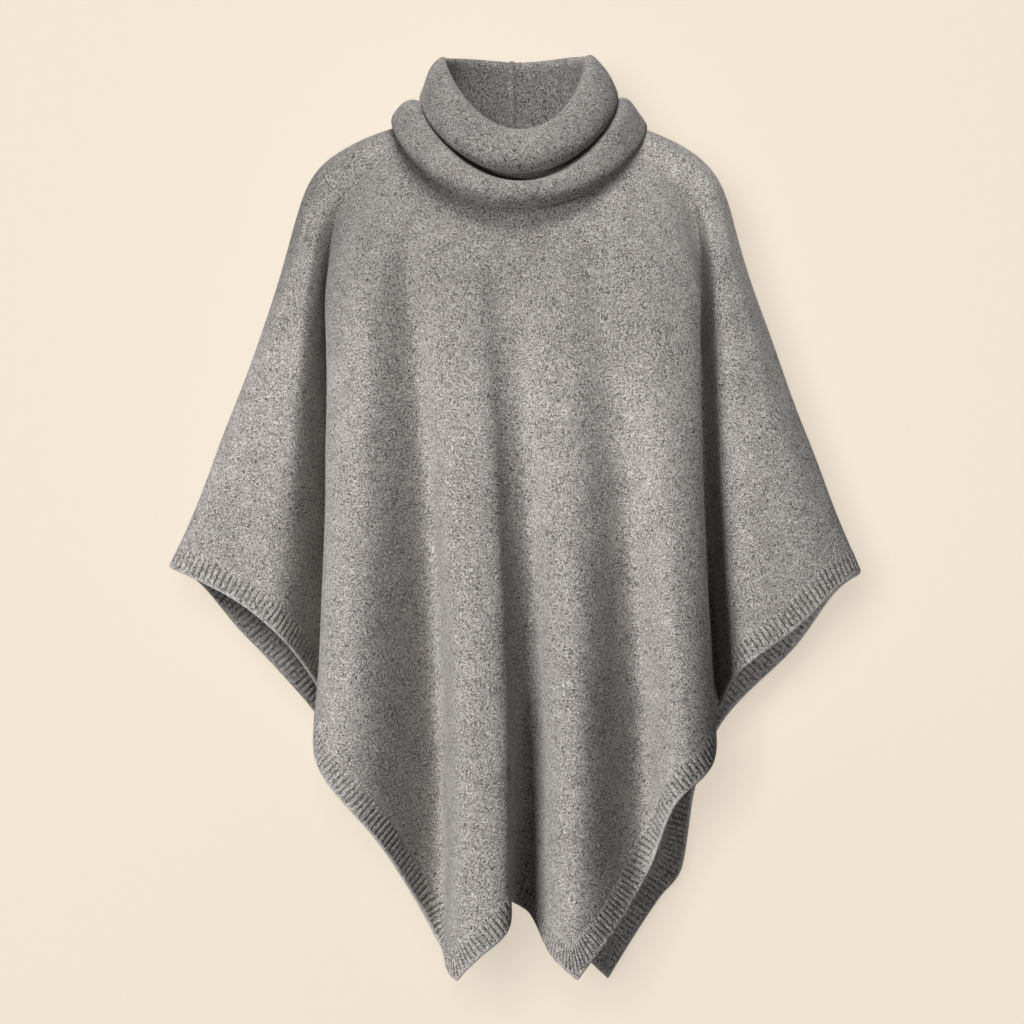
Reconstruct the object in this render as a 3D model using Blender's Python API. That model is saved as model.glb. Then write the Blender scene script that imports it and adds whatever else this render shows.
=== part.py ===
"""A knitted poncho sweater with a slouched cowl, filled out as it is worn.

Metres, +Z up, +X to the right as seen from the front, and the front faces -Y. The
origin is between the shoulders, at the base of the neck.

Hang lines describe the cloth. Each one starts on the neck seam, comes over the shoulder
to the chest and hangs from there to the hem, along the crest of a fold or the bottom of
a valley. At every height a closed spline runs through all of them, and that is the cloth.
"""

import bpy
import numpy as np

# Driving sizes, in millimetres.
WALL = 3.0
SEAM_GAP = 0.3
CHEST_Z = -130.0  # the hang lines leave the shoulders here
YOKE = 170.0  # nominal length of cloth from the neck seam to the chest
FOLD_START = 0.1  # the share of the fall over which the folds set in
BAND = 26.0  # depth of the ribbed hem
RIB_PITCH = 7.0
RIB_RISE = 1.1
CORNER_EASE = 34.0  # the ribs fan out over this much hem on each side of a corner
CORNER_SWEEP = 5.0  # and the band's top swings round a notch over this much
TIP_EASE = 60.0  # and turn parallel to the arm's edge over this much at each wing tip
COLUMN_PITCH = 26.0  # between the columns of a panel where it is flat
COLUMN_TURN = 44.0  # and degrees between them where it turns sharply
YOKE_ROWS = 5
HANG_ROWS = 5
BAND_ROWS = 3
BAND_STEPS = 6  # in finding the band's top from the hem
COWL_COLUMNS = 36
COLUMN_DROP = 400.0  # both measured this far below the chest
WOOL = (0.28, 0.27, 0.26)

NECK = dict(x=2.0, y=-11.0, wide=95.0, deep=81.0, front_z=-42.0, side_z=41.0)

# turn: degrees round the neck seam from the front, + towards +X.
# dip, out, down: how steeply the yoke leaves the seam in degrees, and its two handles as
# shares of the way to the chest.
# bow: sideways bulge half way down. corner: 1 where the hem has a sharp corner.
LINES = np.array(
    [
        ("arm_minus", -90, 12, 0.665, 0.50, -244, 2, -350, 2, -407, 5, 1),
        ("wing_minus_edge", -85, 13, 0.63, 0.49, -238, -21, -338, -18, -413, 4, 0),
        ("wing_minus_face", -80, 17, 0.54, 0.45, -222, -38, -282, -40, -441, 0, 0),
        ("wing_minus_turn", -75, 20, 0.50, 0.44, -206, -36, -234, -34, -477, 0, 0),
        ("valley_minus", -71, 23, 0.48, 0.43, -191, -6, -195, 14, -524, 0, 0),
        ("side_minus", -67, 26, 0.46, 0.42, -188, -38, -201, -44, -560, 3, 0),
        ("edge_minus", -60, 32, 0.43, 0.40, -184, -66, -201, -86, -603, 3, 0),
        ("crest_1", -46, 44, 0.38, 0.36, -156, -103, -155, -108, -657, 0, 0),
        ("valley_1", -32, 54, 0.35, 0.35, -111, -90, -80, -46, -779, 8, 0),
        ("point_minus", -24, 58, 0.35, 0.35, -84, -107, -61, -108, -811, 6, 1),
        ("crest_2", -15, 62, 0.35, 0.35, -52, -113, -33, -119, -785, 2, 0),
        ("flank_2", -11, 63, 0.35, 0.35, -36, -113, -11, -108, -762, 8, 0),
        ("notch", -8, 64, 0.35, 0.35, -27, -110, -2, -80, -736, 9, 1),
        ("valley_2", -3, 65, 0.35, 0.35, -13, -106, 8, -52, -750, 10, 0),
        ("flank_3", 4, 65, 0.35, 0.35, 10, -111, 32, -88, -783, 6, 0),
        ("crest_3", 12, 63, 0.35, 0.35, 42, -114, 58, -118, -809, 7, 1),
        ("valley_3", 26, 57, 0.35, 0.35, 81, -102, 121, -60, -718, 10, 0),
        ("crest_4", 42, 45, 0.38, 0.36, 130, -106, 157, -110, -638, 4, 0),
        ("edge_plus", 58, 33, 0.43, 0.40, 180, -82, 194, -92, -604, 4, 0),
        ("side_plus", 66, 26, 0.46, 0.42, 184, -48, 196, -46, -562, 2, 0),
        ("valley_plus", 71, 23, 0.48, 0.43, 190, -18, 207, -2, -540, 0, 0),
        ("wing_plus_turn", 76, 20, 0.50, 0.44, 200, -42, 232, -36, -506, 0, 0),
        ("wing_plus_face", 80, 17, 0.54, 0.45, 213, -43, 270, -46, -469, 0, 0),
        ("wing_plus_edge", 86, 13, 0.62, 0.49, 231, -23, 330, -20, -421, -2, 0),
        ("arm_plus", 90, 12, 0.645, 0.50, 237, 2, 342, 2, -413, -2, 1),
        ("back_wing_plus_edge", 95, 13, 0.62, 0.49, 231, 20, 330, 15, -424, -2, 0),
        ("back_wing_plus", 101, 17, 0.54, 0.45, 212, 34, 278, 28, -491, 0, 0),
        ("back_valley_plus", 108, 22, 0.50, 0.44, 192, 42, 206, 42, -568, 0, 0),
        ("back_edge_plus", 118, 30, 0.45, 0.40, 174, 72, 182, 88, -640, 0, 0),
        ("back_roll_plus", 126, 36, 0.41, 0.39, 154, 88, 171, 104, -724, 0, 0),
        ("back_crest_1", 133, 42, 0.38, 0.36, 130, 98, 150, 110, -746, 0, 0),
        ("back_point_plus", 145, 50, 0.35, 0.35, 88, 96, 92, 100, -832, 0, 1),
        ("back_valley_1", 152, 53, 0.35, 0.35, 62, 94, 66, 86, -804, 0, 0),
        ("back_crest_2", 166, 56, 0.35, 0.35, 28, 101, 34, 108, -752, 0, 0),
        ("back_notch", 176, 57, 0.35, 0.35, 0, 98, 12, 92, -738, 0, 1),
        ("back_valley_2", 184, 57, 0.35, 0.35, -16, 96, -8, 82, -752, 0, 0),
        ("back_crest_3", 196, 55, 0.35, 0.35, -46, 101, -40, 106, -778, 0, 0),
        ("back_point_minus", 205, 52, 0.35, 0.35, -70, 98, -60, 98, -792, 0, 1),
        ("back_valley_3", 216, 48, 0.36, 0.36, -100, 95, -98, 86, -735, 0, 0),
        ("back_crest_4", 229, 42, 0.38, 0.36, -140, 97, -146, 108, -662, 0, 0),
        ("back_edge_minus", 243, 30, 0.45, 0.40, -182, 72, -184, 86, -602, 0, 0),
        ("back_valley_minus", 252, 22, 0.50, 0.44, -202, 42, -207, 42, -555, 0, 0),
        ("back_wing_minus", 259, 17, 0.54, 0.45, -220, 34, -274, 28, -484, 0, 0),
        ("back_wing_minus_edge", 265, 13, 0.63, 0.49, -238, 20, -337, 15, -417, 4, 0),
    ],
    dtype=[("name", "U24")]
    + [
        (column, float)
        for column in (
            "turn", "dip", "out", "down", "chest_x", "chest_y",
            "hem_x", "hem_y", "hem_z", "bow", "corner",
        )
    ],
)  # fmt: skip


def line_index(name):
    return int(np.flatnonzero(LINES["name"] == name)[0])


def hanging(z):
    """Every hang line's x and y at each height, straight from chest to hem but for its bow."""
    fall = (CHEST_Z - z[:, None]) / (CHEST_Z - LINES["hem_z"])
    bulge = LINES["bow"] * np.clip(4 * fall * (1 - fall), 0, None)
    x = LINES["chest_x"] + (LINES["hem_x"] - LINES["chest_x"]) * fall + bulge
    late = fall - FOLD_START * (1 - np.exp(-np.maximum(fall, 0) / FOLD_START))
    late /= 1 - FOLD_START * (1 - np.exp(-1 / FOLD_START))
    y = LINES["chest_y"] + (LINES["hem_y"] - LINES["chest_y"]) * late
    return np.stack([x, y, np.broadcast_to(z[:, None], x.shape)], axis=-1)


def neck_seam(turn):
    """Points of the neck seam: an oval that sinks at the front."""
    rise = np.where(
        np.cos(turn) > 0, 0.5 * (1 - np.cos(turn) + np.sin(turn) ** 2), 1.0
    )
    return np.stack(
        [
            NECK["x"] + NECK["wide"] * np.sin(turn),
            NECK["y"] - NECK["deep"] * np.cos(turn),
            NECK["front_z"] + (NECK["side_z"] - NECK["front_z"]) * rise,
        ],
        axis=-1,
    )


def eased(points, times):
    """Points moved towards their neighbours', so that the folds fade out over the yoke."""
    for _ in range(times):
        points = (np.roll(points, 1, axis=0) + 2 * points + np.roll(points, -1, axis=0)) / 4
    return points


def yoke_handles():
    """The four Bezier points of every line from the neck seam to the chest."""
    start = neck_seam(np.radians(LINES["turn"]))
    levels = np.array([CHEST_Z, CHEST_Z - 1.0])
    chest, below = hanging(levels)
    way = chest - start
    reach = np.linalg.norm(way, axis=1, keepdims=True)
    level = way[:, :2] / np.linalg.norm(way[:, :2], axis=1, keepdims=True)
    dip = np.radians(LINES["dip"])[:, None]
    leave = np.hstack([level * np.cos(dip), -np.sin(dip)])
    arrive = (below - chest) / np.linalg.norm(below - chest, axis=1, keepdims=True)
    shoulder = eased(start + leave * reach * LINES["out"][:, None], 2)
    return start, shoulder, eased(chest - arrive * reach * LINES["down"][:, None], 3), chest


HANDLES = yoke_handles()


def lines_at(drop):
    """Every hang line's point for each drop: millimetres below the chest, or from it up."""
    share = np.clip(1 + drop / YOKE, 0, 1)[:, None, None]
    a, b, c, d = HANDLES
    yoke = (
        (1 - share) ** 3 * a
        + 3 * (1 - share) ** 2 * share * b
        + 3 * (1 - share) * share**2 * c
        + share**3 * d
    )
    return np.where(drop[:, None, None] < 0, yoke, hanging(CHEST_Z - np.maximum(drop, 0)))


def knots():
    """How far round the cloth each line is, measured part of the way down."""
    ring = lines_at(np.array([300.0]))[0]
    steps = np.linalg.norm(np.roll(ring, -1, axis=0) - ring, axis=1)
    return np.concatenate([[0], np.cumsum(steps)])


KNOTS = knots()


def curvature_weights():
    """What each line adds to the second derivative of the closed cubic spline at each knot."""
    step = np.diff(KNOTS)
    before = np.roll(step, 1)
    unit = np.eye(len(step))
    forward = np.roll(unit, -1, axis=0).T
    system = 2 * np.diag(before + step)
    system += np.roll(np.diag(step), 1, axis=1) + np.roll(np.diag(before), -1, axis=1)
    slope = (forward.T - unit) / step[:, None]
    return np.linalg.solve(system, 6 * (slope - np.roll(slope, 1, axis=0)))


CURVATURE = curvature_weights()


def weights(along):
    """How much of each line makes up the cloth at each distance round it."""
    count = len(KNOTS) - 1
    along = np.mod(along, KNOTS[-1])
    here = np.clip(np.searchsorted(KNOTS, along, side="right") - 1, 0, count - 1)
    step = (KNOTS[here + 1] - KNOTS[here])[:, None]
    b = (along - KNOTS[here])[:, None] / step
    a = 1 - b
    after = (here + 1) % count
    unit = np.eye(count)
    bend = (a**3 - a) * CURVATURE[here] + (b**3 - b) * CURVATURE[after]
    return a * unit[here] + b * unit[after] + bend * step**2 / 6


def cloth(along, drop):
    """Points of the cloth's outer face."""
    return np.einsum("kn,knc->kc", weights(along), lines_at(drop))


def slopes(along, drop, reach=0.5):
    """Which way the outer face runs round the cloth and up it, per millimetre of each."""
    round_it = cloth(along + reach, drop) - cloth(along - reach, drop)
    low = drop + reach
    high = np.maximum(drop - reach, -YOKE)
    up_it = cloth(along, high) - cloth(along, low)
    return round_it / (2 * reach), up_it / (low - high)[:, None]


def unit(vectors):
    return vectors / np.linalg.norm(vectors, axis=-1, keepdims=True)


def outward(along, drop):
    return unit(np.cross(*slopes(along, drop)))


def hem_drop(along):
    """How far below the chest the hem is: smooth between its sharp corners."""
    count = len(LINES)
    corners = np.flatnonzero(LINES["corner"])
    out = np.empty_like(along)
    where = np.mod(along, KNOTS[-1])
    for first, last in zip(corners, np.append(corners[1:], corners[0] + count)):
        index = np.arange(first, last + 1)
        at = KNOTS[index % count] + KNOTS[-1] * (index // count)
        value = CHEST_Z - LINES["hem_z"][index % count]
        inside = np.where(where < at[0], where + KNOTS[-1], where)
        span = (inside >= at[0] - 1e-9) & (inside <= at[-1] + 1e-9)
        out[span] = monotone(at, value, inside[span])
    return out


def monotone(at, value, where):
    """A curve through the values that doesn't swing past them."""
    step, rise = np.diff(at), np.diff(value) / np.diff(at)
    slope = np.empty_like(value)
    slope[0], slope[-1] = rise[0], rise[-1]
    same = rise[1:] * rise[:-1] > 0
    harmonic = 3 * (step[1:] + step[:-1])
    with np.errstate(divide="ignore", invalid="ignore"):
        mean = harmonic / (
            (2 * step[1:] + step[:-1]) / rise[:-1] + (step[1:] + 2 * step[:-1]) / rise[1:]
        )
    slope[1:-1] = np.where(same, mean, 0)
    i = np.clip(np.searchsorted(at, where, side="right") - 1, 0, len(step) - 1)
    t = (where - at[i]) / step[i]
    return (
        value[i] * (1 + 2 * t) * (1 - t) ** 2
        + step[i] * slope[i] * t * (1 - t) ** 2
        + value[i + 1] * t**2 * (3 - 2 * t)
        + step[i] * slope[i + 1] * t**2 * (t - 1)
    )


def smoothed(values, half):
    """A running mean over half the samples on each side, with both ends held."""
    before = 2 * values[0] - values[half:0:-1]
    after = 2 * values[-1] - values[-2 : -half - 2 : -1]
    total = np.cumsum(np.concatenate([[0], before, values, after]))
    return (total[2 * half + 1 :] - total[: -2 * half - 1]) / (2 * half + 1)


def without_loops(points):
    """Which points of a flat line stay when it is cut short wherever it crosses itself."""
    start, way = points[:-1], np.diff(points, axis=0)
    keep = np.ones(len(points), bool)
    gap = start[None] - start[:, None]
    turn = way[:, None, 0] * way[None, :, 1] - way[:, None, 1] * way[None, :, 0]
    with np.errstate(divide="ignore", invalid="ignore"):
        on_first = (gap[..., 0] * way[None, :, 1] - gap[..., 1] * way[None, :, 0]) / turn
        on_last = (gap[..., 0] * way[:, None, 1] - gap[..., 1] * way[:, None, 0]) / turn
    crossing = (on_first >= 0) & (on_first <= 1) & (on_last >= 0) & (on_last <= 1)
    for first, last in np.argwhere(np.triu(crossing, 2)):
        keep[first + 1 : last + 1] = False
    return keep


def hem_rungs(first, last):
    """Where the ribs of one panel's band lie, at the hem and at the band's top.

    The band's top is as far from the hem everywhere, so it meets in a mitre above each
    point of the hem. The ribs stand square to the hem, fan out towards its corners, and
    turn parallel to the arm's edge at the wing tips.
    """
    along = np.linspace(first, last, 3001)
    points = cloth(along, hem_drop(along))
    length = np.concatenate(
        [[0], np.cumsum(np.linalg.norm(np.diff(points, axis=0), axis=1))]
    )
    even = np.linspace(0, length[-1], 1201)
    along = np.interp(even, length, along)
    drop = hem_drop(along)
    points = cloth(along, drop)
    per_mm = 1 / (even[1] - even[0])

    to_tip = np.clip(np.minimum(even, even[-1] - even) / TIP_EASE, 0, 1)
    tip = 1 - to_tip**2 * (3 - 2 * to_tip)
    top = np.stack([along, drop], axis=1)
    for step in range(BAND_STEPS):
        round_it, up_it = slopes(*top.T)
        level = unit(round_it)
        rise = unit(up_it - np.sum(up_it * level, axis=1, keepdims=True) * level)
        if step == 0:
            tangent = np.gradient(points, even, axis=0)
            tilt = np.arctan2(
                np.sum(tangent * rise, axis=1), np.sum(tangent * level, axis=1)
            )
            tilt = smoothed(tilt, round(CORNER_SWEEP * per_mm))
        across, upward = np.sum(up_it * level, axis=1), np.sum(up_it * rise, axis=1)
        lean = tilt + (np.arctan2(-across, upward) - tilt) * tip
        up = np.cos(lean) / upward
        sideways = (-np.sin(lean) - up * across) / np.linalg.norm(round_it, axis=1)
        top += BAND / BAND_STEPS * np.stack([sideways, -up], axis=1)
    keep = without_loops(top)
    kept = top[keep]
    steps = np.linalg.norm(np.diff(cloth(*kept.T), axis=0), axis=1)
    top_length = np.concatenate([[0], np.cumsum(steps)])
    match = np.interp(np.arange(len(even)), np.flatnonzero(keep), top_length)
    match = smoothed(match, round(CORNER_EASE * per_mm))

    ribs = int(round(even[-1] / RIB_PITCH))
    at = np.linspace(0, even[-1], 2 * ribs + 1)
    top_at = np.interp(at, even, match)
    hem = np.stack([np.interp(at, even, along), np.interp(at, even, drop)], axis=1)
    top = np.stack([np.interp(top_at, top_length, kept[:, i]) for i in (0, 1)], axis=1)
    top[:, 0] = np.maximum.accumulate(top[:, 0])
    return hem, top


def mesh_object(name, points, faces, colour):
    """A closed mesh from points in millimetres, as an object with its own material."""
    mesh = bpy.data.meshes.new(name)
    mesh.from_pydata((np.asarray(points) * 0.001).tolist(), [], faces)
    mesh.validate()
    material = bpy.data.materials.new(name)
    material.use_nodes = True
    surface = material.node_tree.nodes["Principled BSDF"]
    surface.inputs["Base Color"].default_value = (*colour, 1)
    surface.inputs["Roughness"].default_value = 0.95
    surface.inputs["Metallic"].default_value = 0.0
    mesh.materials.append(material)
    thing = bpy.data.objects.new(name, mesh)
    bpy.context.collection.objects.link(thing)
    return thing


def columns_between(first, last):
    """Distances round the cloth of a panel's columns: every hang line, and more between them."""
    ends = KNOTS[first : last + 1].copy()
    ends[0] += SEAM_GAP / 2
    ends[-1] -= SEAM_GAP / 2
    fine = np.linspace(ends[0], ends[-1], 2001)
    steps = np.diff(cloth(fine, np.full(2001, COLUMN_DROP)), axis=0)
    heading = np.unwrap(np.arctan2(steps[:, 1], steps[:, 0]))
    cost = np.linalg.norm(steps, axis=1) / COLUMN_PITCH
    cost[1:] += np.abs(np.diff(heading)) / np.radians(COLUMN_TURN)
    spent = np.concatenate([[0], np.cumsum(cost)])
    columns = [ends[:1]]
    for a, b in zip(ends, ends[1:]):
        paid = np.interp([a, b], fine, spent)
        share = np.linspace(*paid, max(1, round(paid[1] - paid[0])) + 1)[1:]
        columns.append(np.interp(share, spent, fine))
    return np.concatenate(columns)


def zipped(low, high, low_at, high_at):
    """Triangles between two rows of point numbers, joined where the rows' places match."""
    faces, i, j = [], 0, 0
    while i < len(low) - 1 or j < len(high) - 1:
        take_low = j == len(high) - 1 or (
            i < len(low) - 1 and low_at[i] + low_at[i + 1] <= high_at[j] + high_at[j + 1]
        )
        if take_low:
            faces.append((low[i], low[i + 1], high[j]))
            i += 1
        else:
            faces.append((low[i], high[j + 1], high[j]))
            j += 1
    return faces


def between(low, high, low_at=None, high_at=None):
    """Faces from one row of point numbers to the next one up."""
    if len(low) == len(high):
        return [(low[i], low[i + 1], high[i + 1], high[i]) for i in range(len(low) - 1)]
    if low_at is None:
        low_at, high_at = np.linspace(0, 1, len(low)), np.linspace(0, 1, len(high))
    return zipped(low, high, low_at, high_at)


def wall(outer, inner, places=(None, None)):
    """Points and faces of an open wall, from its outer and inner rows, the lowest first.

    places gives the lowest row's and the other rows' places round the cloth, where their
    counts differ.
    """
    points = outer + inner
    starts = np.cumsum([0] + [len(row) for row in points])
    numbers = [list(range(a, b)) for a, b in zip(starts, starts[1:])]
    outer, inner = numbers[: len(outer)], numbers[len(outer) :]
    faces = []
    for low, high in zip(outer, outer[1:]):
        faces += between(low, high, *places)
    for low, high in zip(inner, inner[1:]):
        faces += [face[::-1] for face in between(low, high, *places)]
    faces += rim(outer[0], inner[0], -1) + rim(outer[-1], inner[-1], 1)
    for end, turn in ((0, 1), (-1, -1)):
        faces += rim([row[end] for row in outer], [row[end] for row in inner], turn)
    return np.vstack(points), faces


def rim(outer, inner, turn):
    """Faces across a wall's edge, split alike on both sides of a seam so that they stay parallel."""
    ribs = (len(outer) - 1) // (len(inner) - 1)
    faces = []
    for i in range(len(inner) - 1):
        a, b, c, d = outer[ribs * i], outer[ribs * (i + 1)], inner[i], inner[i + 1]
        faces += [(a, b, c)[::turn], (b, d, c)[::turn]]
        if ribs == 2:
            faces.append((a, outer[2 * i + 1], b)[::turn])
    return faces


def panel(name, first, last, colour):
    """Front or back: from the neck seam down to the top of its ribbed band."""
    start = columns_between(first, last)
    first, last = start[0], start[-1]
    hem, top = hem_rungs(first, last)
    edge = (top + (top - hem) * SEAM_GAP / BAND)[::2]
    bottom = np.interp(start, *edge.T)
    rows = [edge.T]
    for share in np.linspace(1, 0, HANG_ROWS + 1)[1:] ** 0.8:
        rows.append((start, bottom * share))
    for share in np.linspace(0, -1, YOKE_ROWS + 1)[1:]:
        rows.append((start, np.full(len(start), share * YOKE)))
    outer = [cloth(*row) for row in rows]
    inner = [face - WALL * outward(*row) for face, row in zip(outer, rows)]
    mesh_object(name, *wall(outer, inner, (edge[:, 0], start)), colour)


def band(name, first, last, colour):
    """A ribbed hem: two outer points to a rib, crest and groove, over a plain inside."""
    first, last = KNOTS[first] + SEAM_GAP / 2, KNOTS[last] - SEAM_GAP / 2
    hem, top = hem_rungs(first, last)
    raised = np.where(np.arange(len(hem)) % 2, RIB_RISE, 0.0)[:, None]
    outer, inner = [], []
    for share in np.linspace(0, 1, BAND_ROWS):
        place = (hem + (top - hem) * share).T
        face, normal = cloth(*place), outward(*place)
        if share == 1:  # straight from groove to groove, as the panel above it is
            face[1::2] = (face[:-1:2] + face[2::2]) / 2
        outer.append(face + raised * normal)
        inner.append((face - WALL * normal)[::2])
    mesh_object(name, *wall(outer, inner), colour)


def tube_faces(rows, columns):
    """Faces of a wall that closes round on itself: its outer rows, then its inner ones."""
    ring = [(i, (i + 1) % columns) for i in range(columns)]
    faces = []
    for row in range(rows - 1):
        up, inner = (row + 1) * columns, rows * columns
        for a, b in ring:
            a, b, c, d = a + up - columns, b + up - columns, b + up, a + up
            faces += [(a, b, c, d), (inner + d, inner + c, inner + b, inner + a)]
    for a, b in ring:
        faces.append((rows * columns + a, rows * columns + b, b, a))
        a, b = a + (rows - 1) * columns, b + (rows - 1) * columns
        faces.append((a, b, rows * columns + b, rows * columns + a))
    return faces


# The cowl's profile, mid-wall, from the neck seam outwards and up: the distance from the
# neck's axis and the height, at the front, the sides and the back.
COWL = np.array(
    [
        ("neck", 78.7, -38, 89.5, 41.5, 79.0, 47),
        ("arch", 83.5, -33.4, 93, 46.8, 83, 52),
        ("fall", 91, -41, 102, 44.0, 91, 48),
        ("ring_under", 100, -50, 112, 38.5, 101, 42),
        ("ring_low", 111, -53, 120, 36, 110, 41),
        ("ring_out", 119.5, -45, 126, 41, 115, 48),
        ("ring_top", 116, -34, 121, 52, 110, 57),
        ("ring_in", 103, -29.5, 110, 57, 100, 60),
        ("tuck", 91, -26, 100.5, 55, 91, 61),
        ("roll_under", 96, -20.5, 98.5, 60, 90, 66.5),
        ("roll_low", 105, -17, 98.5, 66, 91, 71),
        ("roll_out", 107, -6, 95.5, 73, 90, 78),
        ("roll_mid", 101, 7, 90, 82, 87, 87),
        ("roll_high", 91, 18, 83, 92, 82, 96),
        ("rim", 78, 25, 75, 101.5, 75, 103),
        ("lip", 67, 22, 67.5, 99, 67, 99),
        ("inside", 61, 6, 64, 80, 62, 76),
        ("edge", 59, -18, 63, 30, 60, 26),
    ],
    dtype=[("name", "U12")]
    + [(column, float) for column in ("front_r", "front_z", "side_r", "side_z", "back_r", "back_z")],
)  # fmt: skip


def cowl(name, colour):
    """One knitted tube: it leaves the neck seam, drops into a low ring, and turns up into a roll."""
    turn = np.linspace(0, 2 * np.pi, COWL_COLUMNS, endpoint=False)
    around = np.linspace(0, KNOTS[-1], 1441)
    seam = cloth(around, np.full(1441, -YOKE))
    angle = np.unwrap(np.arctan2(seam[:, 0] - NECK["x"], NECK["y"] - seam[:, 1]))
    along = np.interp(np.mod(turn - angle[0], 2 * np.pi) + angle[0], angle, around)
    drop = np.full(COWL_COLUMNS, -YOKE)
    seam, seam_out = cloth(along, drop), outward(along, drop)
    away = unit(slopes(along, drop)[1])

    front = np.clip(np.cos(turn), 0, None)
    low = 1 - np.where(front > 0, 0.5 * (1 - np.cos(turn) + np.sin(turn) ** 2), 1.0)
    behind = np.clip(-np.cos(turn), 0, None) ** 2
    rows = [seam - WALL / 2 * seam_out + SEAM_GAP * away]
    for row in COWL:
        r, z = (
            row["side_" + c] + (row["front_" + c] - row["side_" + c]) * low
            + (row["back_" + c] - row["side_" + c]) * behind
            for c in "rz"
        )  # fmt: skip
        rows.append(
            np.stack([NECK["x"] + r * np.sin(turn), NECK["y"] - r * np.cos(turn), z], axis=-1)
        )
    rows = np.array(rows)
    upward = np.gradient(rows, axis=0)
    sideways = np.roll(rows, -1, axis=1) - np.roll(rows, 1, axis=1)
    outer_way = unit(np.cross(sideways, upward))
    outer_way[0] = seam_out
    points = [(rows + side * WALL / 2 * outer_way).reshape(-1, 3) for side in (1, -1)]
    mesh_object(name, np.vstack(points), tube_faces(len(rows), COWL_COLUMNS), colour)


def main():
    for thing in list(bpy.data.objects):
        bpy.data.objects.remove(thing)
    count = len(LINES)
    front = line_index("arm_minus"), line_index("arm_plus")
    back = line_index("arm_plus"), count
    panel("front_panel", *front, WOOL)
    panel("back_panel", *back, WOOL)
    band("front_hem_rib", *front, WOOL)
    band("back_hem_rib", *back, WOOL)
    cowl("cowl_collar", WOOL)


main()
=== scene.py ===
"""Grey melange knitted poncho with a draped cowl collar and a ribbed, pointed hem.

The cloth is one surface in two parameters: how far round the poncho a point is, and how
far below the chest it is. Every piece is worked out on a grid of them, in millimetres.
"""

import bpy
import numpy as np
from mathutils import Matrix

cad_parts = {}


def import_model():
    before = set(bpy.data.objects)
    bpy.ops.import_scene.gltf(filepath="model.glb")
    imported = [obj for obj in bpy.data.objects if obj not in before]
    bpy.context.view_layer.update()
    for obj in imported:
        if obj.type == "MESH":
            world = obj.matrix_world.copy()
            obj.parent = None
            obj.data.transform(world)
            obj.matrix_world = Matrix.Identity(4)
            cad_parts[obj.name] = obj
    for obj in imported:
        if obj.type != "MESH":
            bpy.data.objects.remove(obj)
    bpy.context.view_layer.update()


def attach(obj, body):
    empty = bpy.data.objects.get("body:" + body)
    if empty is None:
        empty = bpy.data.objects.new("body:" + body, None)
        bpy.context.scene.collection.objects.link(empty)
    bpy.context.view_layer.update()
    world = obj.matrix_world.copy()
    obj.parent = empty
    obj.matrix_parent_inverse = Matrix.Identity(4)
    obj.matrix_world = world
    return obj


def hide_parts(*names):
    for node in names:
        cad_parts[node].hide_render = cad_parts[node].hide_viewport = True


# Driving sizes, in millimetres.
WALL = 3.0
LAP = 4.0  # how far a band reaches up into its panel's wall
CHEST_Z = -130.0  # the hang lines leave the shoulders here
YOKE = 170.0  # nominal length of cloth from the neck seam to the chest
FOLD_START = 0.1  # the share of the fall over which the folds set in
BAND = 26.0  # depth of the ribbed hem
RIB_PITCH = 6.0
RIB_RISE = 0.45
RIB_GROOVE = 0.85
BIND_OFF = 3.6  # depth of the smooth edge below the ribs
EDGE_ROUND = 1.6  # how far up the hem's edge is rounded
BOUND_RISE, BOUND_AT, BOUND_WIDE = 0.45, 2.4, 1.8  # the bead along the bound-off edge
RIB_WANDER, RIB_UNEVEN = 0.035, 0.12  # how unevenly ribs are spaced, in pitches, and deep
RIB_NARROW = 3.5  # the power that makes a groove narrower than the crest beside it
CORNER_EASE = 34.0  # the ribs fan out over this much hem on each side of a corner
CORNER_SWEEP = 5.0  # and the band's top swings round a notch over this much
TIP_EASE = 95.0  # and turn parallel to the arm's edge over this much at each wing tip
BAND_STEPS = 6  # in finding the band's top from the hem
COLLAR_SEAM = np.radians(186.5)  # how far round the neck from the front it lies
COLLAR_RADIUS = 75.0  # of the tube where the seam shows, for distances from the seam
SEAM_RISE, SEAM_WIDE = 1.1, 2.6  # the collar's seam is a ridge this high and wide
SEAM_GROOVE, GROOVE_AT, GROOVE_WIDE = 0.7, 4.8, 1.5  # between two grooves
PINCH, PINCH_ROWS = 0.75, 0.45  # share of the collar's outer half wall lost in a tight crease
NECK = dict(x=2.0, y=-11.0, wide=95.0, deep=81.0, front_z=-42.0, side_z=41.0)

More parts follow.
